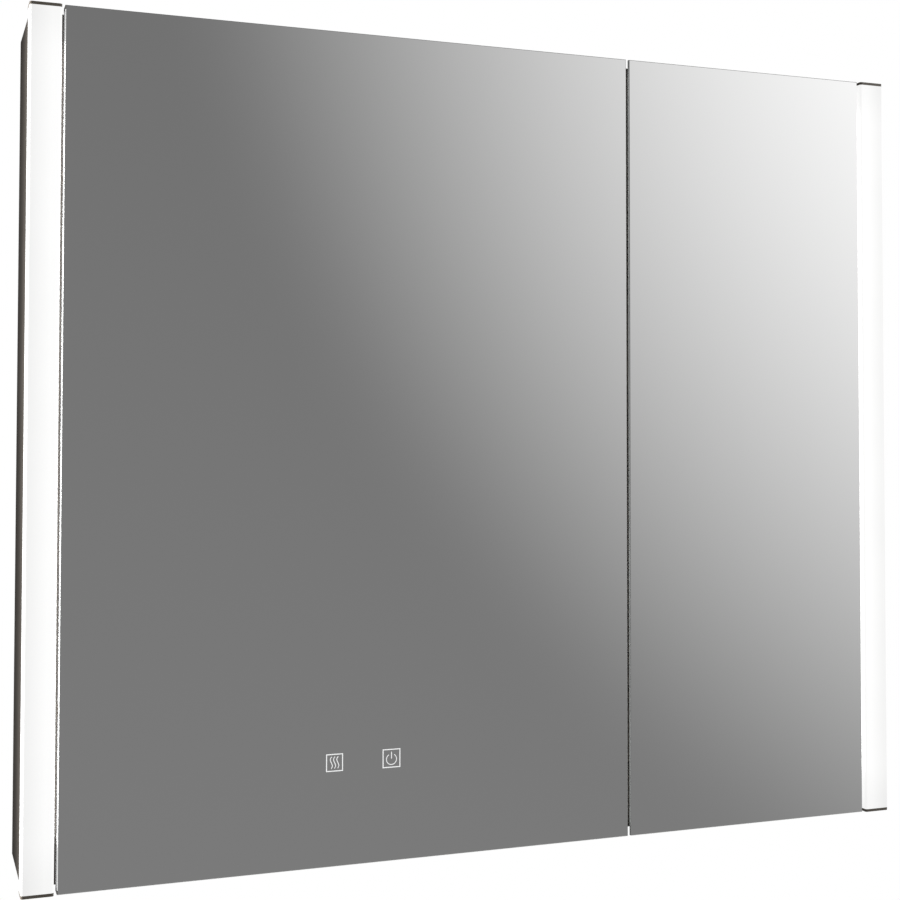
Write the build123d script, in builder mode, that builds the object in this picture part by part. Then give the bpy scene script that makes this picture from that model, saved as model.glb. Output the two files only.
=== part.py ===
"""Two-door mirror cabinet with a light bar at each side, hung on a wall rail.

Millimetres, +Z up, front to -Y. The origin is the middle of the two wall screws, on the wall face: X = 0 is
the cabinet's centre and Y = 0 the wall.
"""

import os

from build123d import *

# Overall
overall_width = 800
overall_height = 700
overall_depth = 120
hang_height = 640  # wall screws above the lower edge

# Light bars
bar_width = 25
bar_depth = 19
bar_proud = 2  # light bar in front of the mirror face
bar_wall = 2
bar_corner = 2
cap_thickness = 2.5

# Doors
door_gap = 3  # between the two doors
side_gap = 2.5  # between a door and its light bar
door_thickness = 15
door_clearance = 2  # between a door's back and the body
left_door_width = 496
glass_thickness = 3
glass_arris = 0.5
stile_width = 24
closing_overhang = 6.5  # glass past the frame on a door's closing side
inner_mirror_inset = 18
hinge_heights = (142, 563)  # above the lower edge

# Hinge: a pin in the door stile, turning in the eye of a cranked bracket on the body
pivot_from_edge = 7
pivot_from_face = 6.3
pin_radius = 1.5
pin_clearance = 0.05
eye_radius = 2.8
eye_height = 10
notch_width = 17
notch_height = 11.6
arm_thickness = 3

# Body
body_inset = 3.5  # body shorter than the doors, at the top and at the bottom
side_inset = 1.5  # body narrower than the light bars, each side
stile_front = 37  # width of a side profile
profile_wall = 2
panel_height = 16
panel_wall = 1.5
sheet = 1.2
rear_recess = 12.8
interior_mirror = 3
duct_height = 636  # service duct floor above the lower edge
shelf_heights = (228, 425)
shelf_thickness = 5

# Positions worked out from these
low = -hang_height
high = low + overall_height
bar_front = -overall_depth
bar_back = bar_front + bar_depth
bar_outer = -overall_width / 2
bar_inner = bar_outer + bar_width
face_y = bar_front + bar_proud
door_back = face_y + door_thickness
body_front = door_back + door_clearance
door_edge = bar_inner + side_gap
right_door_width = -2 * door_edge - left_door_width - door_gap
centre_x = door_edge + left_door_width + door_gap / 2
body_low = low + body_inset
body_high = high - body_inset
side_outer = bar_outer + side_inset
side_inner = side_outer + stile_front
floor_z = body_low + panel_height
ceiling_z = body_high - panel_height
duct_z = low + duct_height
back_y = -rear_recess - sheet
mirror_front_y = back_y - interior_mirror
pivot = (door_edge + pivot_from_edge, face_y + pivot_from_face)
hinge_z = [low + height for height in hinge_heights]
pieces = {}


def box_between(low_corner, high_corner):
    """A closed block from its lowest to its highest corner, added to the part being built."""
    size = [top - bottom for bottom, top in zip(low_corner, high_corner)]
    middle = [(top + bottom) / 2 for bottom, top in zip(low_corner, high_corner)]
    with Locations(tuple(middle)):
        Box(*size)


def mirrored(left_piece):
    """The right-hand twin of a left-hand piece."""
    with BuildPart() as right_piece:
        mirror(left_piece.part, about=Plane.YZ)
    return right_piece


# Side profiles: hollow aluminium boxes that are the cabinet's sides and its front stiles
cap_z = body_low + cap_thickness
profile_height = body_high - body_low - 2 * cap_thickness
profile_depth = -body_front
key_length = 30
key_depth = 26
key_inset = 4
key_y = (body_front + key_inset + key_depth / 2, -key_inset - key_depth / 2)
key_z = (body_low + panel_height / 2, body_high - panel_height / 2)
screw_radius = 2
bracket_depth = 42
bracket_height = 44
bracket_back = body_front + 55
bracket_screw_y = body_front + 43
bracket_screw_z = 14
shelf_peg_radius = 2.5
shelf_peg_y = (body_front + 22, body_front + 70)
shelf_hole_pitch = 32
hinge_screw_places = [(bracket_screw_y, z + side * bracket_screw_z) for z in hinge_z for side in (-1, 1)]
key_screw_places = [(y, z) for y in key_y for z in key_z]
shelf_peg_places = [(y, low + height - shelf_peg_radius) for y in shelf_peg_y for height in shelf_heights]
shelf_hole_places = [(y, z + step * shelf_hole_pitch) for y, z in shelf_peg_places for step in (-1, 0, 1)]

with BuildPart() as left_side_profile:
    with BuildSketch(Plane.XY.offset(cap_z)):
        with Locations(((side_outer + side_inner) / 2, body_front / 2)):
            Rectangle(stile_front, profile_depth)
            Rectangle(stile_front - 2 * profile_wall, profile_depth - 2 * profile_wall, mode=Mode.SUBTRACT)
    extrude(amount=profile_height)
    with BuildSketch(Plane.YZ.offset(side_inner)):
        with Locations(*hinge_screw_places, *key_screw_places):
            Circle(screw_radius)
        with Locations(*shelf_hole_places):
            Circle(shelf_peg_radius)
    extrude(amount=-profile_wall, mode=Mode.SUBTRACT)
pieces["left_side_profile"] = left_side_profile
pieces["right_side_profile"] = mirrored(left_side_profile)

with BuildPart() as profile_end_caps:
    for x in (side_outer, -side_inner):
        for z in (body_low, body_high - cap_thickness):
            box_between((x, body_front, z), (x + stile_front, 0, z + cap_thickness))
pieces["profile_end_caps"] = profile_end_caps


# Top and bottom panels: flat hollow boxes between the side profiles
def panel(z):
    """One panel, its lower face at z."""
    with BuildPart() as piece:
        with BuildSketch(Plane.YZ.offset(side_inner)):
            with Locations((body_front / 2, z + panel_height / 2)):
                Rectangle(profile_depth, panel_height)
                Rectangle(profile_depth - 2 * panel_wall, panel_height - 2 * panel_wall, mode=Mode.SUBTRACT)
        extrude(amount=-2 * side_inner)
    return piece


pieces["bottom_panel"] = panel(body_low)
pieces["top_panel"] = panel(ceiling_z)

# Corner keys: blocks in the open ends of both panels, each held by a screw from inside the side profile
key_height = panel_height - 2 * panel_wall
screw_length = 7.5
screw_head_radius = 3.5
screw_head_height = 2.4

with BuildPart() as corner_keys:
    for z in key_z:
        for y in key_y:
            for x in (side_inner, -side_inner - key_length):
                with Locations((x + key_length / 2, y, z)):
                    Box(key_length, key_depth, key_height)
    for side in (side_inner, -side_inner):
        with BuildSketch(Plane.YZ.offset(side)):
            with Locations(*key_screw_places):
                Circle(screw_radius)
        extrude(amount=(1 if side < 0 else -1) * (screw_length - profile_wall), mode=Mode.SUBTRACT)
pieces["corner_keys"] = corner_keys


# Centre partition: a front flange that both doors close on, and a hollow web behind it
flange_width = 40
flange_thickness = 2
web_width = 12
magnet_offset = 15
magnet_radius = 4
magnet_length = 5
magnet_proud = 1.2
magnet_heights = (60, 600)
bumper_heights = (180, 480)
flange_x = (centre_x - magnet_offset, centre_x + magnet_offset)
magnet_places = [(x, low + height) for height in magnet_heights for x in flange_x]
bumper_places = [(x, low + height) for height in bumper_heights for x in flange_x]
web_front = body_front + flange_thickness
web_depth = back_y - web_front

with BuildPart() as centre_partition:
    with BuildSketch(Plane.XY.offset(floor_z)):
        with Locations((centre_x, body_front + flange_thickness / 2)):
            Rectangle(flange_width, flange_thickness)
        with Locations((centre_x, web_front + web_depth / 2)):
            Rectangle(web_width, web_depth)
            Rectangle(web_width - 2 * panel_wall, web_depth - 2 * panel_wall, mode=Mode.SUBTRACT)
    extrude(amount=duct_z - floor_z)
    with BuildSketch(Plane.XZ.offset(-body_front)):
        with Locations(*magnet_places):
            Circle(magnet_radius)
    extrude(amount=-flange_thickness, mode=Mode.SUBTRACT)
    for side in (-1, 1):
        with BuildSketch(Plane.YZ.offset(centre_x + side * web_width / 2)):
            with Locations(*shelf_hole_places):
                Circle(shelf_peg_radius)
        extrude(amount=-side * panel_wall, mode=Mode.SUBTRACT)
pieces["centre_partition"] = centre_partition

with BuildPart() as catch_magnets:
    with BuildSketch(Plane.XZ.offset(-body_front + magnet_proud)):
        with Locations(*magnet_places):
            Circle(magnet_radius)
    extrude(amount=-magnet_length)
pieces["catch_magnets"] = catch_magnets

with BuildPart() as door_bumpers:
    with BuildSketch(Plane.XZ.offset(-body_front)):
        with Locations(*bumper_places):
            Circle(3)
    extrude(amount=1.4, taper=12)
pieces["door_bumpers"] = door_bumpers

# Rear cover: a steel sheet set into the back, with the hole for the mains cable
gland_place = (340, 15)
gland_radius = 8
hanger_x = 250
hanger_screw_z = (6, 18)
hanger_screw_x = 12
hanger_screw_places = [
    (side * hanger_x + offset, z)
    for side in (-1, 1)
    for offset in (-hanger_screw_x, hanger_screw_x)
    for z in hanger_screw_z
]

with BuildPart() as rear_cover:
    box_between((side_inner, back_y, floor_z), (-side_inner, -rear_recess, ceiling_z))
    with BuildSketch(Plane.XZ.offset(-back_y)):
        with Locations(gland_place):
            Circle(gland_radius)
        with Locations(*hanger_screw_places):
            Circle(screw_radius)
    extrude(amount=-sheet, mode=Mode.SUBTRACT)
pieces["rear_cover"] = rear_cover

# Interior mirrors: the compartments' back walls, in front of the rear cover
mirror_play = 0.5
web_left = centre_x - web_width / 2
web_right = centre_x + web_width / 2


def interior_mirror_between(x_low, x_high):
    """One pane standing on the bottom panel, from the side profile to the partition."""
    with BuildPart() as piece:
        box_between(
            (x_low + mirror_play, mirror_front_y, floor_z),
            (x_high - mirror_play, back_y, duct_z - mirror_play),
        )
        chamfer(piece.faces().sort_by(Axis.Y)[0].edges(), length=0.4)
    return piece


pieces["left_interior_mirror"] = interior_mirror_between(side_inner, web_left)
pieces["right_interior_mirror"] = interior_mirror_between(web_right, -side_inner)

# Service duct under the top panel: its folded cover, and the electrics that stand on it
duct_front = body_front + 3

with BuildPart() as duct_cover:
    box_between((side_inner, duct_front, duct_z), (-side_inner, back_y, duct_z + sheet))
    box_between((side_inner, duct_front, duct_z), (-side_inner, duct_front + sheet, ceiling_z))
    bends = duct_cover.edges().filter_by(Axis.X).group_by(Axis.Z)[0].sort_by(Axis.Y)
    fillet(bends[0], radius=1)
pieces["duct_cover"] = duct_cover

duct_floor = duct_z + sheet

with BuildPart() as led_driver:
    box_between((-300, -88, duct_floor), (-150, -48, duct_floor + 26))
    fillet(led_driver.edges().filter_by(Axis.Z), radius=3)
    chamfer(led_driver.faces().sort_by(Axis.Z)[-1].edges(), length=1)
    box_between((-310, -78, duct_floor), (-300, -58, duct_floor + 3))
    box_between((-150, -78, duct_floor), (-140, -58, duct_floor + 3))
pieces["led_driver"] = led_driver

with BuildPart() as heater_transformer:
    box_between((-80, -88, duct_floor), (0, -48, duct_floor + 30))
    fillet(heater_transformer.edges().filter_by(Axis.Z), radius=4)
    chamfer(heater_transformer.faces().sort_by(Axis.Z)[-1].edges(), length=1.5)
    box_between((-90, -78, duct_floor), (-80, -58, duct_floor + 3))
    box_between((0, -78, duct_floor), (10, -58, duct_floor + 3))
pieces["heater_transformer"] = heater_transformer

terminal_pitch = 12
terminal_count = 4
terminal_start = 250

with BuildPart() as terminal_block:
    box_between(
        (terminal_start, -80, duct_floor),
        (terminal_start + terminal_pitch * terminal_count, -58, duct_floor + 16),
    )
    with BuildSketch(Plane.XY.offset(duct_floor + 16)):
        for index in range(terminal_count):
            with Locations((terminal_start + terminal_pitch * (index + 0.5), -69)):
                Circle(2.5)
    extrude(amount=-8, mode=Mode.SUBTRACT)
    with BuildSketch(Plane.XZ.offset(80)):
        for index in range(terminal_count):
            with Locations((terminal_start + terminal_pitch * (index + 0.5), duct_floor + 4)):
                Rectangle(6, 4)
    extrude(amount=-8, mode=Mode.SUBTRACT)
pieces["terminal_block"] = terminal_block

# Cable gland: a moulded bush through the rear cover, with a hexagon flange behind and a nut in the duct
gland_plane = Plane(origin=(gland_place[0], -rear_recess, gland_place[1]), z_dir=(0, -1, 0))

with BuildPart() as cable_gland:
    with BuildSketch(gland_plane):
        Circle(gland_radius)
    extrude(amount=12)
    with BuildSketch(gland_plane):
        RegularPolygon(11, 6)
    extrude(amount=-4)
    with BuildSketch(gland_plane.offset(-4)):
        Circle(8.5)
    extrude(amount=-6, taper=8)
    with BuildSketch(gland_plane.offset(sheet)):
        RegularPolygon(11, 6)
    extrude(amount=4)
    with BuildSketch(gland_plane.offset(12)):
        Circle(4)
    extrude(amount=-22, mode=Mode.SUBTRACT)
pieces["cable_gland"] = cable_gland

# Glass shelves on pegs: two per compartment
shelf_front = body_front + 9
shelf_back = mirror_front_y - 2
shelf_play = 1.5


def glass_shelf(x_low, x_high, height):
    """One shelf with ground edges, its lower face at height above the lower edge."""
    z = low + height
    with BuildPart() as piece:
        box_between(
            (x_low + shelf_play, shelf_front, z),
            (x_high - shelf_play, shelf_back, z + shelf_thickness),
        )
        fillet(piece.edges().filter_by(Axis.Z), radius=3)
        chamfer(piece.faces().filter_by(Axis.Z).edges(), length=0.5)
    return piece


for level, height in zip(("lower", "upper"), shelf_heights):
    pieces[f"left_{level}_shelf"] = glass_shelf(side_inner, web_left, height)
    pieces[f"right_{level}_shelf"] = glass_shelf(web_right, -side_inner, height)

peg_reach = 8

with BuildPart() as shelf_pegs:
    for wall_x, direction in ((side_inner, 1), (web_left, -1), (web_right, 1), (-side_inner, -1)):
        with BuildSketch(Plane.YZ.offset(wall_x - direction * panel_wall)):
            with Locations(*shelf_peg_places):
                Circle(shelf_peg_radius)
        extrude(amount=direction * (panel_wall + peg_reach))
pieces["shelf_pegs"] = shelf_pegs

# Wall rail: the only piece screwed to the wall, an upward-open channel that the hangers drop into
rail_half = 320
rail_plate = 2.5
rail_low = -18
rail_high = 26
ledge_z = 18
lip_y = -9
wall_screw_x = 300
wall_screw_radius = 3.25

with BuildPart() as wall_rail:
    with BuildSketch(Plane.YZ.offset(-rail_half)):
        with BuildLine():
            Polyline(
                (0, rail_low),
                (0, rail_high),
                (-rail_plate, rail_high),
                (-rail_plate, ledge_z),
                (lip_y + rail_plate, ledge_z),
                (lip_y + rail_plate, rail_high),
                (lip_y, rail_high),
                (lip_y, ledge_z - rail_plate),
                (-rail_plate, ledge_z - rail_plate),
                (-rail_plate, rail_low),
                close=True,
            )
        make_face()
    extrude(amount=2 * rail_half)
    with BuildSketch(Plane.XZ.offset(rail_plate)):
        with Locations((-wall_screw_x, 0), (wall_screw_x, 0)):
            Circle(wall_screw_radius)
    extrude(amount=-rail_plate, mode=Mode.SUBTRACT)
pieces["wall_rail"] = wall_rail

# Hangers: folded steel hooks on the rear cover, resting on the rail's ledge
hanger_width = 40
hanger_low = -2
hanger_high = 31
hook_y = -5.7
hook_thickness = 2.5


def hanger(x):
    """One hook, centred on x."""
    with BuildPart() as piece:
        with BuildSketch(Plane.YZ.offset(x - hanger_width / 2)):
            with BuildLine():
                Polyline(
                    (-rear_recess, hanger_low),
                    (-rear_recess, hanger_high),
                    (hook_y + hook_thickness, hanger_high),
                    (hook_y + hook_thickness, ledge_z),
                    (hook_y, ledge_z),
                    (hook_y, hanger_high - hook_thickness),
                    (-rear_recess + hook_thickness, hanger_high - hook_thickness),
                    (-rear_recess + hook_thickness, hanger_low),
                    close=True,
                )
            make_face()
        extrude(amount=hanger_width)
        with BuildSketch(Plane.XZ.offset(rear_recess)):
            with Locations(*[place for place in hanger_screw_places if abs(place[0] - x) < hanger_width]):
                Circle(screw_radius)
        extrude(amount=-hook_thickness, mode=Mode.SUBTRACT)
    return piece


pieces["left_hanger"] = hanger(-hanger_x)
pieces["right_hanger"] = hanger(hanger_x)

with BuildPart() as hanger_screws:
    head_y = -rear_recess + hook_thickness
    with BuildSketch(Plane.XZ.offset(-head_y)):
        with Locations(*hanger_screw_places):
            Circle(screw_radius)
    extrude(amount=hook_thickness + sheet + 3)
    with BuildSketch(Plane.XZ.offset(-head_y)):
        with Locations(*hanger_screw_places):
            Circle(3)
    extrude(amount=-1.1)
pieces["hanger_screws"] = hanger_screws

with BuildPart() as wall_pads:
    with BuildSketch(Plane.XZ):
        with Locations((-wall_screw_x, low + 40), (wall_screw_x, low + 40)):
            Circle(10)
    extrude(amount=rear_recess)
pieces["wall_pads"] = wall_pads

# Light bars: aluminium channel, LED strip and opal cover, closed by a cap at each end
cover_back = bar_back - bar_wall
base_inset = 0.5
leg_thickness = 1.5
leg_front = bar_front + 8
leg_play = 0.2
board_width = 12
board_thickness = 1.2
board_end = 16
led_pitch = 11.6
led_size = (3.5, 2.8)
led_thickness = 0.8
bar_middle = (bar_outer + bar_inner) / 2
bar_low = low + cap_thickness
bar_length = overall_height - 2 * cap_thickness
bar_screw_z = (low + 9, high - 9)


def bar_outline(depth):
    """The light bar's plan outline with its two rounded front corners, depth deep."""
    with BuildSketch(mode=Mode.PRIVATE) as outline:
        with Locations((bar_middle, bar_front + depth / 2)):
            Rectangle(bar_width, depth)
        fillet(outline.vertices().group_by(Axis.Y)[0], radius=bar_corner)
    return outline.sketch


with BuildPart() as left_diffuser:
    with BuildSketch(Plane.XY.offset(bar_low)):
        add(bar_outline(bar_depth - bar_wall))
        with Locations((bar_middle, bar_front + bar_wall + bar_depth / 2)):
            Rectangle(bar_width - 2 * bar_wall, bar_depth, mode=Mode.SUBTRACT)
    extrude(amount=bar_length)
pieces["left_diffuser"] = left_diffuser
pieces["right_diffuser"] = mirrored(left_diffuser)

with BuildPart() as left_light_channel:
    with BuildSketch(Plane.XY.offset(bar_low)):
        with Locations((bar_middle, cover_back + bar_wall / 2)):
            Rectangle(bar_width - 2 * base_inset, bar_wall)
        leg_offset = bar_width / 2 - bar_wall - leg_play - leg_thickness / 2
        leg_y = (leg_front + cover_back) / 2
        with Locations((bar_middle - leg_offset, leg_y), (bar_middle + leg_offset, leg_y)):
            Rectangle(leg_thickness, cover_back - leg_front)
    extrude(amount=bar_length)
    with BuildSketch(Plane.XZ.offset(-cover_back)):
        with Locations(*[(bar_middle, z) for z in bar_screw_z]):
            Circle(screw_radius)
    extrude(amount=-bar_wall, mode=Mode.SUBTRACT)
pieces["left_light_channel"] = left_light_channel
pieces["right_light_channel"] = mirrored(left_light_channel)

with BuildPart() as bar_screws:
    for x in (bar_middle, -bar_middle):
        places = [(x, z) for z in bar_screw_z]
        with BuildSketch(Plane.XZ.offset(-cover_back)):
            with Locations(*places):
                Circle(screw_radius)
        extrude(amount=-bar_wall)
        with BuildSketch(Plane.XZ.offset(-cover_back)):
            with Locations(*places):
                Circle(screw_head_radius)
        extrude(amount=screw_head_height)
pieces["bar_screws"] = bar_screws

led_count = int((overall_height - 2 * board_end) / led_pitch)
led_start = (low + high) / 2 - led_pitch * (led_count - 1) / 2
board_front = cover_back - board_thickness

with BuildPart() as left_led_strip:
    box_between(
        (bar_middle - board_width / 2, board_front, low + board_end),
        (bar_middle + board_width / 2, cover_back, high - board_end),
    )
    with BuildSketch(Plane.XZ.offset(-board_front)):
        with Locations(*[(bar_middle, led_start + index * led_pitch) for index in range(led_count)]):
            Rectangle(*led_size)
    extrude(amount=led_thickness)

with BuildPart() as led_strips:
    add(left_led_strip.part)
    mirror(left_led_strip.part, about=Plane.YZ)
pieces["led_strips"] = led_strips


def bar_cap(z):
    """One end cap of the left light bar, its lower face at z."""
    with BuildPart() as piece:
        with BuildSketch(Plane.XY.offset(z)):
            add(bar_outline(bar_depth))
        extrude(amount=cap_thickness)
    return piece


left_top_cap = bar_cap(high - cap_thickness)
left_bottom_cap = bar_cap(low)
pieces["left_top_cap"] = left_top_cap
pieces["left_bottom_cap"] = left_bottom_cap
pieces["right_top_cap"] = mirrored(left_top_cap)
pieces["right_bottom_cap"] = mirrored(left_bottom_cap)

# Hinge brackets: a plate on the side profile's inner wall, and a cranked arm out to the eye
plate_thickness = 2.5
arm_x = side_inner + arm_thickness / 2
knee_y = body_front - 4
plate_front = bracket_back - bracket_depth


def hinge_bracket(z):
    """One left-hand bracket, its eye centred on z."""
    with BuildPart() as piece:
        with BuildSketch(Plane.XY.offset(z - eye_height / 2)):
            with BuildLine():
                Polyline(pivot, (arm_x, knee_y), (arm_x, plate_front + 10))
            trace(line_width=arm_thickness)
            with Locations(pivot):
                Circle(eye_radius)
                Circle(pin_radius + pin_clearance, mode=Mode.SUBTRACT)
        extrude(amount=eye_height)
        box_between(
            (side_inner, plate_front, z - bracket_height / 2),
            (side_inner + plate_thickness, bracket_back, z + bracket_height / 2),
        )
        with BuildSketch(Plane.YZ.offset(side_inner)):
            with Locations(*[(bracket_screw_y, z + side * bracket_screw_z) for side in (-1, 1)]):
                Circle(screw_radius)
        extrude(amount=plate_thickness, mode=Mode.SUBTRACT)
    return piece


for level, z in zip(("lower", "upper"), hinge_z):
    bracket = hinge_bracket(z)
    pieces[f"left_{level}_hinge_bracket"] = bracket
    pieces[f"right_{level}_hinge_bracket"] = mirrored(bracket)

# Machine screws: one size holds the corner keys, from inside the side profiles, and the hinge brackets
key_screw_plane = Plane.YZ.offset(side_inner - profile_wall)
hinge_screw_plane = Plane.YZ.offset(side_inner + plate_thickness)
head_recess = 1.5

with BuildPart() as left_screws:
    for plane, places, direction in (
        (key_screw_plane, key_screw_places, 1),
        (hinge_screw_plane, hinge_screw_places, -1),
    ):
        with BuildSketch(plane):
            with Locations(*places):
                Circle(screw_radius)
        extrude(amount=direction * screw_length)
        with BuildSketch(plane):
            with Locations(*places):
                Circle(screw_head_radius)
        extrude(amount=-direction * screw_head_height)
        with BuildSketch(plane.offset(-direction * screw_head_height)):
            with Locations(*places):
                RegularPolygon(head_recess, 6)
        extrude(amount=direction * head_recess, mode=Mode.SUBTRACT)

with BuildPart() as machine_screws:
    add(left_screws.part)
    mirror(left_screws.part, about=Plane.YZ)
pieces["machine_screws"] = machine_screws

pin_length = 34

with BuildPart() as left_door_pins:
    for z in hinge_z:
        with BuildSketch(Plane.XY.offset(z - pin_length / 2)):
            with Locations(pivot):
                Circle(pin_radius)
        extrude(amount=pin_length)
pieces["left_door_pins"] = left_door_pins
pieces["right_door_pins"] = mirrored(left_door_pins)

# Doors: front mirror on an aluminium frame of four bars, with an inner mirror let into the frame's back
frame_front = face_y + glass_thickness
rebate_front = door_back - glass_thickness
back_corner = 2
strike_radius = 5
strike_thickness = 1
strike_depth = 0.8
strike_x = magnet_offset - door_gap / 2


def door(side, width):
    """One door's pieces: the left-hand door in place, the right-hand one as a mirrored left-hand one."""
    hinge_x = door_edge
    free_x = door_edge + width
    frame_x = free_x - closing_overhang
    made = {}

    with BuildPart() as front_mirror:
        box_between((hinge_x, face_y, low), (free_x, frame_front, high))
        chamfer(front_mirror.faces().sort_by(Axis.Y)[0].edges(), length=glass_arris)
    made["door_mirror"] = front_mirror

    rebate_low = (hinge_x + inner_mirror_inset, rebate_front, low + inner_mirror_inset)
    rebate_high = (frame_x - inner_mirror_inset, door_back, high - inner_mirror_inset)

    with BuildPart() as inner_mirror:
        box_between(rebate_low, rebate_high)
        chamfer(inner_mirror.faces().sort_by(Axis.Y)[-1].edges(), length=0.4)
    made["door_inner_mirror"] = inner_mirror

    with BuildPart() as rebate:
        box_between(rebate_low, rebate_high)

    with BuildPart() as hinge_stile:
        box_between((hinge_x, frame_front, low), (hinge_x + stile_width, door_back, high))
        back_edge = hinge_stile.edges().filter_by(Axis.Z).group_by(Axis.X)[0].sort_by(Axis.Y)[-1]
        chamfer(back_edge, length=back_corner)
        add(rebate.part, mode=Mode.SUBTRACT)
        for z in hinge_z:
            with Locations((*pivot, z)):
                Cylinder(pin_radius, pin_length, mode=Mode.SUBTRACT)
            with Locations((hinge_x + notch_width / 2, (frame_front + door_back) / 2, z)):
                Box(notch_width, door_back - frame_front, notch_height, mode=Mode.SUBTRACT)
    made["door_hinge_stile"] = hinge_stile

    with BuildPart() as closing_stile:
        box_between((frame_x - stile_width, frame_front, low), (frame_x, door_back, high))
        add(rebate.part, mode=Mode.SUBTRACT)
        with BuildSketch(Plane.XZ.offset(-door_back)):
            with Locations(*[(free_x - strike_x, low + height) for height in magnet_heights]):
                Circle(strike_radius)
        extrude(amount=strike_depth, mode=Mode.SUBTRACT)
    made["door_closing_stile"] = closing_stile

    for name, z in (("door_bottom_rail", low), ("door_top_rail", high - stile_width)):
        with BuildPart() as rail:
            box_between(
                (hinge_x + stile_width, frame_front, z),
                (frame_x - stile_width, door_back, z + stile_width),
            )
            add(rebate.part, mode=Mode.SUBTRACT)
        made[name] = rail

    with BuildPart() as strike_plates:
        with BuildSketch(Plane.XZ.offset(-door_back + strike_depth)):
            with Locations(*[(free_x - strike_x, low + height) for height in magnet_heights]):
                Circle(strike_radius)
        extrude(amount=-strike_thickness)
    made["door_strikes"] = strike_plates

    for name, piece in made.items():
        pieces[f"{side}_{name}"] = piece if side == "left" else mirrored(piece)


door("left", left_door_width)
door("right", right_door_width)

# Behind the left door's front mirror: the heater film, and the touch board under the two symbols
left_door_middle = door_edge + left_door_width / 2
symbol_height = 85.7
symbol_offset = 25

with BuildPart() as heater_film:
    with BuildSketch(Plane.XZ.offset(-frame_front)):
        with Locations((left_door_middle, low + 380)):
            RectangleRounded(320, 420, 12)
    extrude(amount=-0.4)
pieces["heater_film"] = heater_film

with BuildPart() as touch_board:
    with BuildSketch(Plane.XZ.offset(-frame_front)):
        with Locations((left_door_middle, low + symbol_height)):
            RectangleRounded(84, 30, 3)
    extrude(amount=-1.6)
    for side in (-1, 1):
        with Locations((left_door_middle + side * symbol_offset, frame_front + 2.4, low + symbol_height)):
            Box(12, 1.6, 8)
pieces["touch_board"] = touch_board

os.makedirs("parts", exist_ok=True)
for label, piece in pieces.items():
    piece.part.label = label
    export_step(piece.part, f"parts/{label}.step")
print(len(pieces), "pieces")
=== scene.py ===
import math

import bpy
from mathutils import Matrix, Vector


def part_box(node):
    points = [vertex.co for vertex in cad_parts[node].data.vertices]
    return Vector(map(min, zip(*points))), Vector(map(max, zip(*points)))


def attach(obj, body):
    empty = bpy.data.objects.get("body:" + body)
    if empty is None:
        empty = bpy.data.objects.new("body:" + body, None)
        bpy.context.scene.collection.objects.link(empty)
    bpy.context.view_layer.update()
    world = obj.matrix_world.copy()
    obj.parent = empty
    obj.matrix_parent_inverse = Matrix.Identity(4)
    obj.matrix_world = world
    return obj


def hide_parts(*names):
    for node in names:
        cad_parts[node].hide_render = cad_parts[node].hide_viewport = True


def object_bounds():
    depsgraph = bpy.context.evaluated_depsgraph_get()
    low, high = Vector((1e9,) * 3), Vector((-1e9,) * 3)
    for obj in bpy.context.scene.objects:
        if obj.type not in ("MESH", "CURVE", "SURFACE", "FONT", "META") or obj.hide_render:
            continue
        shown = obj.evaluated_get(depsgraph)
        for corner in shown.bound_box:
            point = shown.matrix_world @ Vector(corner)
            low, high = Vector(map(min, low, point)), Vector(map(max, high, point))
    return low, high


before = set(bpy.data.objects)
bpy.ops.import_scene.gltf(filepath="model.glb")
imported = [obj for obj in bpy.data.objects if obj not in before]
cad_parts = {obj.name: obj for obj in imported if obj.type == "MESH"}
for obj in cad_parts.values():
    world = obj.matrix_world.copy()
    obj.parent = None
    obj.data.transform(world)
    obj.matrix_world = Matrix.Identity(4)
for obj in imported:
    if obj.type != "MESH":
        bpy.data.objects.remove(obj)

cad_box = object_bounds()

# Camera: a 59 mm lens, half a metre left of the cabinet's middle and 1.2 m in front of its mirrors,
# turned 20 degrees to the right and a little up, with a small downward shift.
camera_place = Vector((-0.4875, -1.3164, -0.2785))
camera_turn = 0.3524
camera_pitch = 0.0320
camera_lean = 0.0013

camera_data = bpy.data.cameras.new("studio_camera")
camera_data.lens = 59.17
camera_data.sensor_width = 36
camera_data.shift_y = -0.0731
camera_data.clip_start = 0.05
camera = bpy.data.objects.new("studio_camera", camera_data)
camera.matrix_world = (
    Matrix.Translation(camera_place)
    @ Matrix.Rotation(-camera_turn, 4, "Z")
    @ Matrix.Rotation(math.pi / 2 + camera_pitch, 4, "X")
    @ Matrix.Rotation(camera_lean, 4, "Z")
)
bpy.context.scene.collection.objects.link(camera)
bpy.context.scene.camera = camera
bpy.context.scene.view_settings.view_transform = "Standard"


# Studio: a white backdrop, and round it a grey room with one very large soft light, high on the right,
# which the mirrors show as a smooth diagonal ramp. Its ceiling is darker, and its wall behind the
# cabinet darkest.
def add_node(tree, kind, inputs=(), **settings):
    """A node of this kind, with its settings, and its inputs set or linked in the order given."""
    made = tree.nodes.new(kind)
    for name, value in settings.items():
        setattr(made, name, value)
    for socket, value in dict(inputs).items():
        if isinstance(value, bpy.types.NodeSocket):
            tree.links.new(value, made.inputs[socket])
        else:
            made.inputs[socket].default_value = value
    return made


def maths(tree, operation, *values):
    """The result of a Math node on up to three values or sockets."""
    return add_node(tree, "ShaderNodeMath", dict(enumerate(values)), operation=operation).outputs[0]


def ramped(tree, value, low, high, start=0.0, end=1.0, style="SMOOTHSTEP"):
    """A value that goes from start to end as the one given goes from low to high."""
    sockets = {"Value": value, "From Min": low, "From Max": high, "To Min": start, "To Max": end}
    return add_node(tree, "ShaderNodeMapRange", sockets, interpolation_type=style).outputs["Result"]


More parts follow.
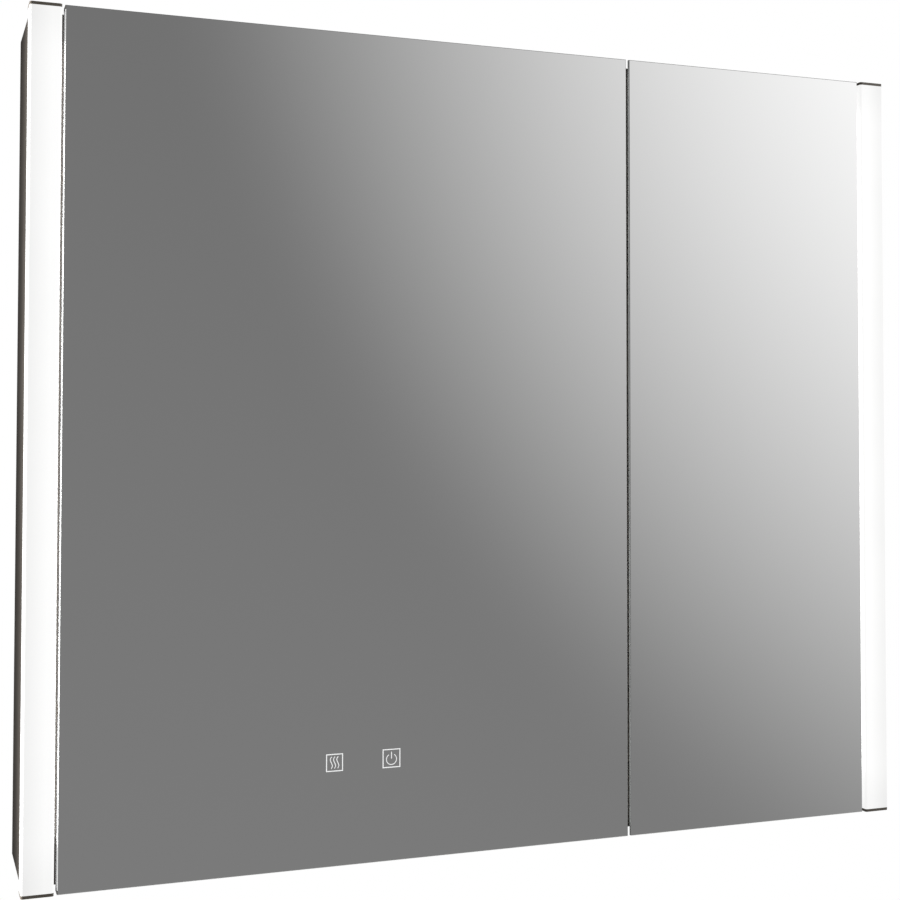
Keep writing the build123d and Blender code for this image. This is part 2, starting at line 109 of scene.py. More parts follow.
soft_light_way = (0.7826, -0.4966, 0.3759)
soft_light_reach = 0.697
soft_light_rim = 0.04
soft_light_level = 7.35
soft_light_growth = 1.4465
room_level = 0.199
room_fall = -0.06
wall_level = 0.05
ceiling_level = 0.10

world = bpy.data.worlds.new("studio")
world.use_nodes = True
bpy.context.scene.world = world
sky = world.node_tree
sky.nodes.clear()
way = add_node(sky, "ShaderNodeTexCoord").outputs["Generated"]
towards = add_node(sky, "ShaderNodeVectorMath", {0: way, 1: soft_light_way}, operation="DOT_PRODUCT")
nearness = maths(sky, "SUBTRACT", towards.outputs["Value"], soft_light_reach)
inside = maths(sky, "SMOOTH_MAX", nearness, 0.0, soft_light_rim)
glow = maths(sky, "MULTIPLY", maths(sky, "POWER", inside, soft_light_growth), soft_light_level)
way_parts = add_node(sky, "ShaderNodeSeparateXYZ", {"Vector": way})
room = maths(sky, "ADD", maths(sky, "MULTIPLY_ADD", way_parts.outputs["Z"], room_fall, room_level), glow)
upward = ramped(sky, way_parts.outputs["Z"], 0.40, 0.70)
covered = add_node(sky, "ShaderNodeMix", {0: upward, 2: room, 3: ceiling_level}).outputs[0]
behind = ramped(sky, way_parts.outputs["Y"], 0.30, 0.80)
surround = add_node(sky, "ShaderNodeMix", {0: behind, 2: covered, 3: wall_level}).outputs[0]
seen = add_node(sky, "ShaderNodeLightPath").outputs["Is Camera Ray"]
level = add_node(sky, "ShaderNodeMix", {0: seen, 2: surround, 3: 1.0}).outputs[0]
backdrop = add_node(sky, "ShaderNodeBackground", {"Color": (1.0, 1.0, 1.0, 1.0), "Strength": level})
add_node(sky, "ShaderNodeOutputWorld", {"Surface": backdrop.outputs[0]})

# Lamps: soft boxes on the right, over the top and behind, and a strip lamp beside the cabinet's left edge.
# Thin ones stand for the bars' glow: one in each gap beside a bar, two faint ones between the doors.
# A row holds a name, a place, what the lamp points at, its width and length, and its watts.
for name, place, aim, size, power in (
    ("left_strip_lamp", (-0.455, -0.111, -0.29), (-0.40, -0.111, -0.29), (0.016, 0.78), 1.155),
    ("left_gap_glow", (-0.3747, -0.112, -0.285), (0, -0.112, -0.285), (0.014, 0.63), 0.40),
    ("right_gap_glow", (0.3747, -0.112, -0.285), (0, -0.112, -0.285), (0.014, 0.63), 0.40),
    ("centre_gap_glow", (0.125, -0.1125, -0.29), (0.125, 0, -0.29), (0.002, 0.68), 0.03),
    ("centre_edge_glow", (0.1237, -0.1162, -0.29), (0.2, -0.1162, -0.29), (0.0025, 0.68), 0.003),
    ("back_soft_box", (0.9, 2.2, 1.0), (0.0, 0.0, -0.3), (1.6, 1.6), 28.0),
    ("right_soft_box", (2.0, -2.0, 0.6), (0.3, -0.1, -0.3), (1.0, 1.8), 12.0),
    ("top_soft_box", (0.2, -0.9, 1.9), (0.0, -0.1, 0.0), (1.6, 0.8), 12.0),
):
    lamp_data = bpy.data.lights.new(name, "AREA")
    lamp_data.shape = "RECTANGLE"
    lamp_data.size, lamp_data.size_y = size
    lamp_data.energy = power
    lamp = bpy.data.objects.new(name, lamp_data)
    lamp.location = place
    lamp.rotation_euler = (Vector(aim) - Vector(place)).to_track_quat("-Z", "Y").to_euler()
    lamp.visible_glossy = False
    lamp.visible_camera = False
    bpy.context.scene.collection.objects.link(lamp)


# Floor: a plain pale painted floor, 1.26 m below the cabinet that hangs on the wall.
def deselected():
    """Leaves object mode with nothing selected."""
    if bpy.context.object is not None and bpy.context.object.mode != "OBJECT":
        bpy.ops.object.mode_set(mode="OBJECT")
    bpy.ops.object.select_all(action="DESELECT")


def started_material(name):
    """A new material, its node tree, its surface shader and the object coordinates for its patterns."""
    material = bpy.data.materials.new(name)
    material.use_nodes = True
    tree = material.node_tree
    place = add_node(tree, "ShaderNodeTexCoord").outputs["Object"]
    return material, tree, tree.nodes["Principled BSDF"], place


def mixed(tree, amount, low, high):
    """The colour between two shades or sockets, by a value from 0 to 1."""
    ends = [end if isinstance(end, bpy.types.NodeSocket) else (*end, 1) for end in (low, high)]
    return add_node(tree, "ShaderNodeMix", {0: amount, 6: ends[0], 7: ends[1]}, data_type="RGBA").outputs[2]


floor_drop = 1.26
floor_side = 7
deselected()
bpy.ops.mesh.primitive_plane_add(size=floor_side, location=(0, -0.5, cad_box[0][2] - floor_drop))
floor = bpy.context.object
floor.name = "studio_floor"
bpy.ops.object.transform_apply(location=True, rotation=True, scale=True)
floor_paint, tree, shader, place = started_material("pale_floor")
cloud = add_node(tree, "ShaderNodeTexNoise", {"Vector": place, "Scale": 1.5, "Detail": 4.0}).outputs["Fac"]
tree.links.new(mixed(tree, cloud, (0.80, 0.80, 0.79), (0.86, 0.86, 0.85)), shader.inputs["Base Color"])
shader.inputs["Roughness"].default_value = 0.7
floor.data.materials.append(floor_paint)


# Body: side profiles, top and bottom panels, partition and duct cover are aluminium extrusions and folded
# sheet, all powder coated one warm grey after cutting. The coat has a fine orange peel.
def group_of(name, inputs, outputs):
    """An empty shader group with these float inputs and defaults, a Vector input, and these outputs."""
    group = bpy.data.node_groups.new(name, "ShaderNodeTree")
    group.interface.new_socket(name="Vector", in_out="INPUT", socket_type="NodeSocketVector")
    for socket, value in inputs.items():
        made = group.interface.new_socket(name=socket, in_out="INPUT", socket_type="NodeSocketFloat")
        made.default_value = value
    for socket in outputs:
        group.interface.new_socket(name=socket, in_out="OUTPUT", socket_type="NodeSocketFloat")
    return group, group.nodes.new("NodeGroupInput").outputs, group.nodes.new("NodeGroupOutput").inputs


def add_group(tree, group, inputs):
    """The outputs of a copy of a shader group placed in a material."""
    return add_node(tree, "ShaderNodeGroup", inputs, node_tree=group).outputs


def tinted(tree, shader, amount, dark, light):
    """Base colour between two shades, by a value from 0 to 1."""
    shade = mixed(tree, amount, dark, light)
    tree.links.new(shade, shader.inputs["Base Color"])
    return shade


def roughened(tree, shader, amount, smooth, rough, low=0.0, high=1.0):
    """Roughness between two values, as the amount goes from low to high."""
    tree.links.new(ramped(tree, amount, low, high, smooth, rough), shader.inputs["Roughness"])


def raised(tree, shader, height, strength, distance):
    """Fine relief on the surface, from a height value."""
    relief = {"Height": height, "Strength": strength, "Distance": distance}
    tree.links.new(add_node(tree, "ShaderNodeBump", relief).outputs["Normal"], shader.inputs["Normal"])


def coated(material, *nodes):
    """Puts a material on CAD nodes."""
    for name in nodes:
        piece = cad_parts[name]
        if not piece.material_slots:
            piece.data.materials.append(material)
        for place in piece.material_slots:
            place.material = material


skin, skin_in, skin_out = group_of("sprayed_skin", {"Peel": 900.0, "Cloud": 7.0}, ("Height", "Tone", "Dust"))
peel_size = {"Vector": skin_in["Vector"], "Scale": skin_in["Peel"], "Detail": 2.0, "Roughness": 0.55}
peel = add_node(skin, "ShaderNodeTexNoise", peel_size).outputs["Fac"]
cloud_size = {"Vector": skin_in["Vector"], "Scale": skin_in["Cloud"], "Detail": 5.0, "Roughness": 0.6}
cloud = add_node(skin, "ShaderNodeTexNoise", cloud_size).outputs["Fac"]
grit_size = {"Vector": skin_in["Vector"], "Scale": 2600.0, "Detail": 1.0}
grit = add_node(skin, "ShaderNodeTexNoise", grit_size).outputs["Fac"]
skin.links.new(peel, skin_out["Height"])
skin.links.new(ramped(skin, cloud, 0.3, 0.7), skin_out["Tone"])
skin.links.new(ramped(skin, grit, 0.60, 0.78), skin_out["Dust"])

body_paint, tree, shader, place = started_material("warm_grey_powder_coat")
coat = add_group(tree, skin, {"Vector": place, "Peel": 750.0, "Cloud": 6.0})
speckled = maths(tree, "MULTIPLY_ADD", coat["Dust"], 0.35, maths(tree, "MULTIPLY", coat["Tone"], 0.65))
tinted(tree, shader, speckled, (0.068, 0.060, 0.052), (0.094, 0.084, 0.074))
roughened(tree, shader, coat["Tone"], 0.42, 0.50)
raised(tree, shader, coat["Height"], 0.35, 0.00006)
shader.inputs["Specular IOR Level"].default_value = 0.30
coated(
    body_paint,
    "left_side_profile", "right_side_profile", "profile_end_caps", "top_panel", "bottom_panel",
    "centre_partition", "duct_cover",
)

# Light bar caps: 2.5 mm aluminium plates in a darker bronze coat. One closes each end of a bar, over both
# its channel and its cover.
cap_paint, tree, shader, place = started_material("bronze_powder_coat")
coat = add_group(tree, skin, {"Vector": place, "Peel": 1100.0, "Cloud": 25.0})
tinted(tree, shader, coat["Tone"], (0.120, 0.103, 0.084), (0.156, 0.136, 0.113))
roughened(tree, shader, coat["Tone"], 0.36, 0.44)
raised(tree, shader, coat["Height"], 0.3, 0.00005)
coated(cap_paint, "left_top_cap", "left_bottom_cap", "right_top_cap", "right_bottom_cap")

# Light bar covers: extruded opal acrylic with a satin face, lit from inside over its whole width. The glow
# is even, a little weaker along the outer edge and close to the caps, where there are no diodes.
bar_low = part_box("left_diffuser")[0]
bar_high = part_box("left_diffuser")[1]
bright_inner_width = 0.007
outer_glow = 0.87
fading_length = 0.045
end_glow = 0.93
opal, tree, shader, place = started_material("opal_acrylic_lit")
parts = add_node(tree, "ShaderNodeSeparateXYZ", {"Vector": place}).outputs
from_middle = maths(tree, "ABSOLUTE", parts["X"])
from_half = maths(tree, "ABSOLUTE", maths(tree, "SUBTRACT", parts["Z"], (bar_low.z + bar_high.z) / 2))
half = (bar_high.z - bar_low.z) / 2
across = ramped(tree, from_middle, -bar_high.x + bright_inner_width, -bar_low.x, 1.0, outer_glow, "LINEAR")
along = ramped(tree, from_half, half - fading_length, half, 1.0, end_glow)
coat = add_group(tree, skin, {"Vector": place, "Peel": 1600.0, "Cloud": 14.0})
even = ramped(tree, coat["Tone"], 0.0, 1.0, 0.995, 1.0)
level = maths(tree, "MULTIPLY", maths(tree, "MULTIPLY", across, along), even)
blue = maths(tree, "MULTIPLY", level, 0.997)
glow = add_node(tree, "ShaderNodeCombineColor", {"Red": level, "Green": level, "Blue": blue})
tree.links.new(glow.outputs[0], shader.inputs["Emission Color"])
shader.inputs["Emission Strength"].default_value = 0.88
shader.inputs["Specular IOR Level"].default_value = 0.3
tinted(tree, shader, coat["Tone"], (0.24, 0.24, 0.237), (0.26, 0.26, 0.257))
roughened(tree, shader, coat["Dust"], 0.42, 0.52)
raised(tree, shader, coat["Height"], 0.2, 0.00003)
coated(opal, "left_diffuser", "right_diffuser")

# LED strips: a white printed board along each bar's channel. Every diode is a yellow phosphor square, and
# a pair of solder pads shows between every two.
led_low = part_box("led_strips")[0]
led_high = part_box("led_strips")[1]
chip_step = 0.0116
pad_half_length = 0.0011
pad_inner = 0.0014
pad_outer = 0.0042
strip_middle = (bar_low.x + bar_high.x) / 2
led_board, tree, shader, place = started_material("led_board")
parts = add_node(tree, "ShaderNodeSeparateXYZ", {"Vector": place}).outputs
on_chip = maths(tree, "LESS_THAN", parts["Y"], led_low.y + 0.00005)
from_strip = maths(tree, "ABSOLUTE", maths(tree, "ADD", maths(tree, "ABSOLUTE", parts["X"]), strip_middle))
from_half = maths(tree, "SUBTRACT", parts["Z"], (led_low.z + led_high.z) / 2)
step = maths(tree, "PINGPONG", from_half, chip_step / 2)
between_chips = maths(tree, "GREATER_THAN", step, chip_step / 2 - pad_half_length)
pad = maths(tree, "MULTIPLY", between_chips, maths(tree, "LESS_THAN", from_strip, pad_outer))
pad = maths(tree, "MULTIPLY", pad, maths(tree, "GREATER_THAN", from_strip, pad_inner))
coat = add_group(tree, skin, {"Vector": place, "Peel": 2200.0, "Cloud": 60.0})
board = mixed(tree, coat["Tone"], (0.80, 0.80, 0.77), (0.88, 0.88, 0.85))
soldered = mixed(tree, pad, board, (0.60, 0.58, 0.54))
tree.links.new(mixed(tree, on_chip, soldered, (0.95, 0.78, 0.30)), shader.inputs["Base Color"])
tree.links.new(maths(tree, "MULTIPLY", pad, 0.9), shader.inputs["Metallic"])
tree.links.new(mixed(tree, on_chip, (0, 0, 0), (1.0, 0.95, 0.82)), shader.inputs["Emission Color"])
shader.inputs["Emission Strength"].default_value = 3.0
shader.inputs["Roughness"].default_value = 0.4
raised(tree, shader, coat["Height"], 0.15, 0.00003)
coated(led_board, "led_strips")

# Door frames and light channels: aluminium bars, drawn lengthways and satin anodised, so fine lines run
# along each bar. Uprights and level bars are cut from the same length.
lines, lines_in, lines_out = group_of("drawn_lines", {"Fine": 1.0}, ("Height", "Sheen"))
fine_size = {"Vector": lines_in["Vector"], "Scale": lines_in["Fine"], "Detail": 3.0, "Roughness": 0.65}
fine = add_node(lines, "ShaderNodeTexNoise", fine_size).outputs["Fac"]
broad_scale = maths(lines, "MULTIPLY", lines_in["Fine"], 0.18)
broad_size = {"Vector": lines_in["Vector"], "Scale": broad_scale, "Detail": 2.0}
broad = add_node(lines, "ShaderNodeTexNoise", broad_size).outputs["Fac"]
lines.links.new(fine, lines_out["Height"])
both = maths(lines, "MULTIPLY_ADD", fine, 0.5, maths(lines, "MULTIPLY", broad, 0.5))
lines.links.new(ramped(lines, both, 0.35, 0.65), lines_out["Sheen"])


def anodised(name, stretch, dark, light):
    """Satin anodised aluminium whose drawn lines run where the stretch is small."""
    material, tree, shader, place = started_material(name)
    drawn = add_node(tree, "ShaderNodeMapping", {"Vector": place, "Scale": stretch}).outputs["Vector"]
    line = add_group(tree, lines, {"Vector": drawn, "Fine": 1.0})
    tinted(tree, shader, line["Sheen"], dark, light)
    shader.inputs["Metallic"].default_value = 1.0
    roughened(tree, shader, line["Sheen"], 0.30, 0.40)
    raised(tree, shader, line["Height"], 0.25, 0.00003)
    return material


satin_dark = (0.60, 0.60, 0.61)
satin_light = (0.74, 0.74, 0.75)
upright_aluminium = anodised("satin_aluminium_upright", (2400, 2400, 14), satin_dark, satin_light)
level_aluminium = anodised("satin_aluminium_level", (14, 2400, 2400), satin_dark, satin_light)
coated(
    upright_aluminium,
    "left_door_hinge_stile", "left_door_closing_stile", "right_door_hinge_stile",
    "right_door_closing_stile", "left_light_channel", "right_light_channel",
)
coated(
    level_aluminium,
    "left_door_top_rail", "left_door_bottom_rail", "right_door_top_rail", "right_door_bottom_rail",
    "corner_keys",
)

# Mirrors: 3 mm float glass, silvered and painted grey on its back, with ground and polished edges that
# show a pale grey-green. A wiped face keeps a very faint haze and a few specks of dust.
haze, haze_in, haze_out = group_of("wiped_glass", {"Wipe": 9.0}, ("Haze", "Specks"))
wipe_way = {"Vector": haze_in["Vector"], "Rotation": (0, 0.6, 0), "Scale": (1, 1, 0.22)}
wiped = add_node(haze, "ShaderNodeMapping", wipe_way).outputs["Vector"]
smear_size = {"Vector": wiped, "Scale": haze_in["Wipe"], "Detail": 6.0, "Roughness": 0.6, "Distortion": 0.6}
smear = add_node(haze, "ShaderNodeTexNoise", smear_size).outputs["Fac"]
speck_size = {"Vector": haze_in["Vector"], "Scale": 420.0, "Detail": 1.0}
speck = add_node(haze, "ShaderNodeTexNoise", speck_size).outputs["Fac"]
haze.links.new(ramped(haze, smear, 0.48, 0.80), haze_out["Haze"])
haze.links.new(ramped(haze, speck, 0.80, 0.86), haze_out["Specks"])


def mirror_glass(name, face, back, bevel):
    """Mirror glass with its clear face at one depth, its painted back at another, and bevelled edges."""
    material, tree, shader, place = started_material(name)
    depth = add_node(tree, "ShaderNodeSeparateXYZ", {"Vector": place}).outputs["Y"]
    from_face = maths(tree, "ABSOLUTE", maths(tree, "SUBTRACT", depth, face))
    silvered = maths(tree, "LESS_THAN", from_face, bevel + 0.00002)
    from_back = maths(tree, "ABSOLUTE", maths(tree, "SUBTRACT", depth, back))
    painted = maths(tree, "LESS_THAN", from_back, 0.00004)
    wipe = add_group(tree, haze, {"Vector": place, "Wipe": 9.0})
    dusty = maths(tree, "MULTIPLY_ADD", wipe["Haze"], 0.5, maths(tree, "MULTIPLY", wipe["Specks"], 0.5))
    silver = mixed(tree, dusty, (0.905, 0.905, 0.903), (0.890, 0.892, 0.892))
    grain = add_group(tree, skin, {"Vector": place, "Peel": 1400.0, "Cloud": 9.0})
    edge = mixed(tree, grain["Tone"], (0.60, 0.62, 0.61), (0.68, 0.70, 0.69))
    paint = mixed(tree, grain["Tone"], (0.20, 0.21, 0.22), (0.25, 0.26, 0.27))
    sides = mixed(tree, painted, edge, paint)
    tree.links.new(mixed(tree, silvered, sides, silver), shader.inputs["Base Color"])
    tree.links.new(silvered, shader.inputs["Metallic"])
    faced = ramped(tree, dusty, 0.0, 1.0, 0.0, 0.035)
    ground = maths(tree, "MULTIPLY", maths(tree, "GREATER_THAN", from_face, 0.00004), 0.12)
    faced = maths(tree, "ADD", faced, ground)
    unsilvered = ramped(tree, painted, 0.0, 1.0, 0.16, 0.55)
    rough = add_node(tree, "ShaderNodeMix", {0: silvered, 2: unsilvered, 3: faced}).outputs[0]
    tree.links.new(rough, shader.inputs["Roughness"])
    return material


door_low, door_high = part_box("left_door_mirror")
inner_low, inner_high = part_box("left_door_inner_mirror")
rear_low, rear_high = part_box("left_interior_mirror")
door_bevel = 0.0005
inside_bevel = 0.0004
coated(
    mirror_glass("door_mirror_glass", door_low.y, door_high.y, door_bevel),
    "left_door_mirror", "right_door_mirror",
)
coated(
    mirror_glass("inner_mirror_glass", inner_high.y, inner_low.y, inside_bevel),
    "left_door_inner_mirror", "right_door_inner_mirror",
)
coated(
    mirror_glass("rear_mirror_glass", rear_low.y, rear_high.y, inside_bevel),
    "left_interior_mirror", "right_interior_mirror",
)

# Touch marks: two squares of 14.6 and 15.7 mm, sandblasted out of the silver in thin lines and lit white
# from behind by the touch board: three rising waves for the mirror heater, the on-off sign for the light.
mark_rise = 0.0857
mark_z = cad_box[0][2] + mark_rise
mark_line = 0.0008
mark_front = door_low.y - 0.00006
mark_depth = 0.0001
heater_x = -0.1488
heater_side = 0.0146
power_x = -0.0990
power_side = 0.0157

lit_mark, tree, shader, place = started_material("lit_etched_line")
etch = add_group(tree, skin, {"Vector": place, "Peel": 5000.0, "Cloud": 300.0})
level = ramped(tree, etch["Tone"], 0.0, 1.0, 0.93, 1.0)
white = add_node(tree, "ShaderNodeCombineColor", {"Red": level, "Green": level, "Blue": level}).outputs[0]
tree.links.new(white, shader.inputs["Emission Color"])
shader.inputs["Emission Strength"].default_value = 0.60
tinted(tree, shader, etch["Tone"], (0.70, 0.72, 0.72), (0.80, 0.82, 0.82))
shader.inputs["Roughness"].default_value = 0.6
raised(tree, shader, etch["Height"], 0.4, 0.00002)


def outline_square(x, side):
    """A thin square frame on the mirror face, centred on x: a plane, inset, with its middle taken out."""
    deselected()
    upright = (math.pi / 2, 0, 0)
    bpy.ops.mesh.primitive_plane_add(size=side, location=(x, mark_front, mark_z), rotation=upright)
    frame_piece = bpy.context.object
    bpy.ops.object.transform_apply(location=True, rotation=True, scale=True)
    bpy.ops.object.mode_set(mode="EDIT")
    bpy.ops.mesh.select_mode(type="FACE")
    bpy.ops.mesh.select_all(action="SELECT")
    bpy.ops.mesh.inset(thickness=mark_line, depth=0)
    bpy.ops.mesh.delete(type="FACE")
    bpy.ops.mesh.select_all(action="SELECT")
    bpy.ops.mesh.extrude_region_move(TRANSFORM_OT_translate={"value": (0, mark_depth, 0)})
    bpy.ops.mesh.select_all(action="SELECT")
    bpy.ops.mesh.normals_make_consistent(inside=False)
    bpy.ops.object.mode_set(mode="OBJECT")
    return frame_piece


def stroke(points, width):
    """A smooth line of even width through these places on the mirror face, nearly flat, as a mesh."""
    deselected()
    bpy.ops.curve.primitive_nurbs_path_add(location=(0, 0, 0))
    line = bpy.context.object
    line.data.splines.clear()
    spline = line.data.splines.new("NURBS")
    spline.points.add(len(points) - 1)
    for point, (x, z) in zip(spline.points, points):
        point.co = (x, 0, z, 1)
    spline.order_u = 3
    spline.use_endpoint_u = True
    line.data.resolution_u = 6
    line.data.bevel_depth = width / 2
    line.data.bevel_resolution = 2
    line.data.use_fill_caps = True
    bpy.ops.object.convert(target="MESH")
    line = bpy.context.object
    line.scale = (1, mark_depth / width, 1)
    line.location = (0, mark_front + mark_depth / 2, mark_z)
    bpy.ops.object.transform_apply(location=True, rotation=True, scale=True)
    return line


def joined_mark(name, pieces):
    """One lit mark from its lines, riding on the left door."""
    deselected()
    for piece in pieces:
        piece.select_set(True)
    bpy.context.view_layer.objects.active = pieces[0]
    bpy.ops.object.join()
    mark = bpy.context.object
    mark.name = name
    mark.data.materials.clear()
    mark.data.materials.append(lit_mark)
    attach(mark, "left_door")


wave_places = (
    (0.0004, 0.0050), (-0.0004, 0.0042), (-0.0010, 0.0028), (-0.0006, 0.0012),
    (0.0004, -0.0008), (0.0010, -0.0024), (0.0006, -0.0038), (-0.0001, -0.0048),
)
wave_spread = 0.0028
wave_width = 0.00066
waves = [
    stroke([(heater_x + shift + x, z) for x, z in wave_places], wave_width)
    for shift in (-wave_spread, 0, wave_spread)
]
joined_mark("heater_touch_mark", [outline_square(heater_x, heater_side), *waves])

ring_radius = 0.0045
ring_gap = 0.56
ring_steps = 20
ring_drop = 0.0008
ring_width = 0.00064
tongue_width = 0.00072
ring_turns = [
    ring_gap + (2 * math.pi - 2 * ring_gap) * step / ring_steps
    for step in range(ring_steps + 1)
]
ring_places = [
    (power_x + ring_radius * math.sin(turn), -ring_drop + ring_radius * math.cos(turn))
    for turn in ring_turns
]
ring = stroke(ring_places, ring_width)
tongue = stroke([(power_x, 0.0054), (power_x, 0.0030), (power_x, -0.0002)], tongue_width)
joined_mark("power_touch_mark", [outline_square(power_x, power_side), ring, tongue])

# Shelves: 5 mm float glass with ground edges, resting on four pegs each. The faces are clear, and the
# long front and back edges, seen through the glass's own depth, are green.
shelf_low, shelf_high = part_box("left_lower_shelf")
shelf_rim = 0.0008
shelf_glass, tree, shader, place = started_material("shelf_glass")
depth = add_node(tree, "ShaderNodeSeparateXYZ", {"Vector": place}).outputs["Y"]
from_centre = maths(tree, "ABSOLUTE", maths(tree, "SUBTRACT", depth, (shelf_low.y + shelf_high.y) / 2))
rim = maths(tree, "GREATER_THAN", from_centre, (shelf_high.y - shelf_low.y) / 2 - shelf_rim)
wipe = add_group(tree, haze, {"Vector": place, "Wipe": 14.0})
clear = tinted(tree, shader, wipe["Haze"], (0.90, 0.96, 0.94), (0.86, 0.93, 0.91))
tree.links.new(mixed(tree, rim, clear, (0.50, 0.84, 0.72)), shader.inputs["Base Color"])
shader.inputs["Transmission Weight"].default_value = 1.0
shader.inputs["IOR"].default_value = 1.5
polished = ramped(tree, wipe["Specks"], 0.0, 1.0, 0.02, 0.12)
tree.links.new(maths(tree, "MULTIPLY_ADD", rim, 0.35, polished), shader.inputs["Roughness"])
coated(shelf_glass, "left_lower_shelf", "left_upper_shelf", "right_lower_shelf", "right_upper_shelf")

# Hinges, pegs, pins and screws: steel, pressed or turned, then bright zinc plated. The wall rail and its
# hangers are dipped in zinc, with larger crystals, and the catches' magnets and strikes are nickel plated.
zinc, zinc_in, zinc_out = group_of("zinc_crystals", {"Crystal": 260.0}, ("Tone", "Height"))
crystal_size = {"Vector": zinc_in["Vector"], "Scale": zinc_in["Crystal"], "Randomness": 1.0}
crystal = add_node(zinc, "ShaderNodeTexVoronoi", crystal_size)
crystal_tone = add_node(zinc, "ShaderNodeSeparateColor", {"Color": crystal.outputs["Color"]}).outputs["Red"]
zinc_cloud_size = {"Vector": zinc_in["Vector"], "Scale": 30.0, "Detail": 4.0}
zinc_cloud = add_node(zinc, "ShaderNodeTexNoise", zinc_cloud_size).outputs["Fac"]
both = maths(zinc, "MULTIPLY_ADD", crystal_tone, 0.5, maths(zinc, "MULTIPLY", zinc_cloud, 0.5))
zinc.links.new(both, zinc_out["Tone"])
zinc.links.new(crystal.outputs["Distance"], zinc_out["Height"])


def plated(name, crystal, dark, light, smooth, rough):
    """Plated steel between two shades, its roughness between two values."""
    material, tree, shader, place = started_material(name)
    patch = add_group(tree, zinc, {"Vector": place, "Crystal": crystal})
    tinted(tree, shader, patch["Tone"], dark, light)
    shader.inputs["Metallic"].default_value = 1.0
    roughened(tree, shader, patch["Tone"], smooth, rough, 0.2, 0.8)
    raised(tree, shader, patch["Height"], 0.12, 0.00004)
    return material


coated(
    plated("bright_zinc", 420.0, (0.50, 0.51, 0.52), (0.68, 0.68, 0.66), 0.22, 0.36),
    "left_upper_hinge_bracket", "left_lower_hinge_bracket", "right_upper_hinge_bracket",
    "right_lower_hinge_bracket", "shelf_pegs", "machine_screws", "hanger_screws", "bar_screws",
    "left_door_pins", "right_door_pins",
)
coated(
    plated("dipped_zinc", 130.0, (0.44, 0.45, 0.46), (0.64, 0.65, 0.66), 0.30, 0.46),
    "wall_rail", "left_hanger", "right_hanger",
)
coated(
    plated("nickel", 900.0, (0.66, 0.65, 0.62), (0.76, 0.75, 0.72), 0.12, 0.20),
    "catch_magnets", "left_door_strikes", "right_door_strikes",
)

# Rear cover: 1.2 mm steel sheet with a light grey baked coat, set into the back of the body. It has a hole
# for the cable gland, and the hangers' screws go through it.
rear_paint, tree, shader, place = started_material("light_grey_coat")
coat = add_group(tree, skin, {"Vector": place, "Peel": 620.0, "Cloud": 4.0})
tinted(tree, shader, coat["Tone"], (0.53, 0.54, 0.54), (0.58, 0.59, 0.59))
roughened(tree, shader, coat["Tone"], 0.45, 0.55)
raised(tree, shader, coat["Height"], 0.3, 0.00006)
coated(rear_paint, "rear_cover")


# Electrics and small mouldings: nylon gland and transformer case in black, driver case and terminals in
# white, wall pads in black rubber, all with a fine moulded grain.
def moulded(name, grain, dark, light, rough):
    """Moulded plastic between two shades, with a fine grain of this many bumps a metre."""
    material, tree, shader, place = started_material(name)
    texture = add_group(tree, skin, {"Vector": place, "Peel": grain, "Cloud": 30.0})
    tinted(tree, shader, texture["Tone"], dark, light)
    roughened(tree, shader, texture["Dust"], rough, rough + 0.12)
    raised(tree, shader, texture["Height"], 0.45, 0.00005)
    return material


coated(
    moulded("black_nylon", 1500.0, (0.016, 0.016, 0.017), (0.026, 0.026, 0.027), 0.48),
    "cable_gland", "heater_transformer",
)
coated(
    moulded("white_polycarbonate", 1700.0, (0.74, 0.74, 0.72), (0.80, 0.80, 0.78), 0.42),
    "led_driver", "terminal_block",
)
coated(moulded("black_rubber", 800.0, (0.030, 0.030, 0.031), (0.045, 0.045, 0.046), 0.75), "wall_pads")

# Heater film: a printed conductor that runs to and fro over a thin amber film, glued behind the left
# mirror's silver. Touch board: a green circuit board with bright tracks, and a sensor behind each mark.
heater_low, heater_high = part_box("heater_film")
conductor_step = 0.006
conductor_start = 0.0035
bare_margin = 0.008
heater_foil, tree, shader, place = started_material("printed_heater_film")
parts = add_node(tree, "ShaderNodeSeparateXYZ", {"Vector": place}).outputs
to_and_fro = maths(tree, "PINGPONG", parts["Z"], conductor_step)
printed = maths(tree, "GREATER_THAN", to_and_fro, conductor_start)
margin = maths(tree, "ABSOLUTE", maths(tree, "SUBTRACT", parts["X"], (heater_low.x + heater_high.x) / 2))
in_margin = maths(tree, "LESS_THAN", margin, (heater_high.x - heater_low.x) / 2 - bare_margin)
printed = maths(tree, "MULTIPLY", printed, in_margin)
tinted(tree, shader, printed, (0.52, 0.36, 0.16), (0.16, 0.15, 0.15))
roughened(tree, shader, printed, 0.25, 0.5)
raised(tree, shader, printed, 0.3, 0.00003)
coated(heater_foil, "heater_film")

track_step = 0.0011
track_start = 0.0008
sensor_radius = 0.009
board_green, tree, shader, place = started_material("green_circuit_board")
parts = add_node(tree, "ShaderNodeSeparateXYZ", {"Vector": place}).outputs
track = maths(tree, "GREATER_THAN", maths(tree, "PINGPONG", parts["Z"], track_step), track_start)
from_heater = maths(tree, "ABSOLUTE", maths(tree, "SUBTRACT", parts["X"], heater_x))
from_power = maths(tree, "ABSOLUTE", maths(tree, "SUBTRACT", parts["X"], power_x))
near_mark = maths(tree, "LESS_THAN", maths(tree, "MINIMUM", from_heater, from_power), sensor_radius)
copper = maths(tree, "MULTIPLY", track, maths(tree, "SUBTRACT", 1.0, near_mark))
copper = maths(tree, "MAXIMUM", copper, maths(tree, "MULTIPLY", near_mark, 0.7))
tinted(tree, shader, copper, (0.012, 0.085, 0.035), (0.03, 0.17, 0.07))
shader.inputs["Roughness"].default_value = 0.3
raised(tree, shader, copper, 0.3, 0.00004)
coated(board_green, "touch_board")

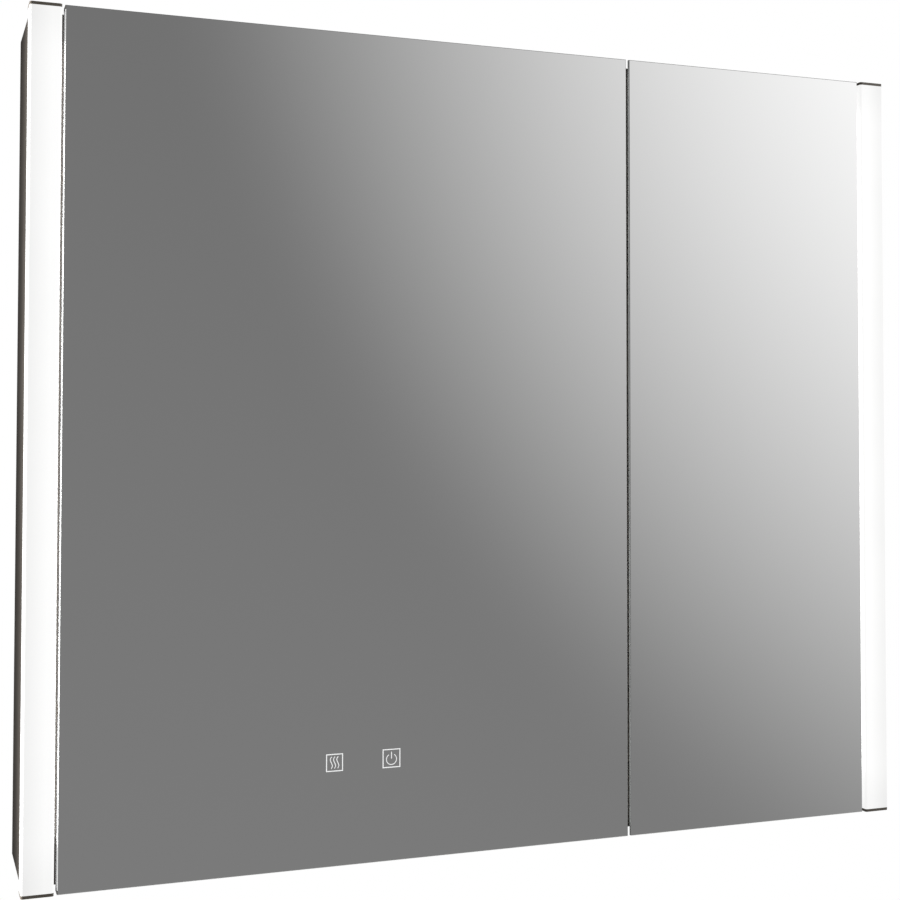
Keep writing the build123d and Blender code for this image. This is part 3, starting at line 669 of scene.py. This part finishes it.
# Door bumpers: clear soft plastic domes, stuck by their flat backs on the partition's flange, two behind
# each door's closing edge.
bumper_low, bumper_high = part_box("door_bumpers")
bumper_radius = 0.003
bumper_rise = bumper_high.y - bumper_low.y
bumper_x = (bumper_low.x + bumper_radius, bumper_high.x - bumper_radius)
bumper_z = (bumper_low.z + bumper_radius, bumper_high.z - bumper_radius)
clear_pad, tree, shader, place = started_material("clear_soft_pad")
coat = add_group(tree, skin, {"Vector": place, "Peel": 1800.0, "Cloud": 200.0})
tinted(tree, shader, coat["Tone"], (0.86, 0.87, 0.88), (0.93, 0.94, 0.95))
shader.inputs["Transmission Weight"].default_value = 0.85
shader.inputs["IOR"].default_value = 1.42
roughened(tree, shader, coat["Dust"], 0.12, 0.25)

deselected()
bpy.ops.mesh.primitive_uv_sphere_add(
    segments=32, ring_count=20, radius=bumper_radius, rotation=(math.pi / 2, 0, 0)
)
dome = bpy.context.object
bpy.ops.object.transform_apply(location=True, rotation=True, scale=True)
bpy.ops.object.mode_set(mode="EDIT")
bpy.ops.mesh.select_all(action="SELECT")
bpy.ops.mesh.bisect(plane_co=(0, 0, 0), plane_no=(0, 1, 0), clear_outer=True, use_fill=True)
bpy.ops.mesh.select_all(action="SELECT")
bpy.ops.transform.resize(value=(1, bumper_rise / bumper_radius, 1), center_override=(0, 0, 0))
bpy.ops.mesh.normals_make_consistent(inside=False)
bpy.ops.object.mode_set(mode="OBJECT")
bpy.ops.object.shade_smooth_by_angle(angle=math.radians(50))
dome.data.materials.append(clear_pad)
for level, z in zip(("lower", "upper"), bumper_z):
    for side, x in zip(("left", "right"), bumper_x):
        deselected()
        bumper = dome.copy()
        bumper.data = dome.data.copy()
        bumper.name = f"{side}_{level}_bumper"
        bpy.context.scene.collection.objects.link(bumper)
        bumper.location = (x, bumper_high.y, z)
        bumper.select_set(True)
        bpy.context.view_layer.objects.active = bumper
        bpy.ops.object.transform_apply(location=True, rotation=True, scale=True)
        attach(bumper, "cabinet")
        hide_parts("door_bumpers")
bpy.data.objects.remove(dome)
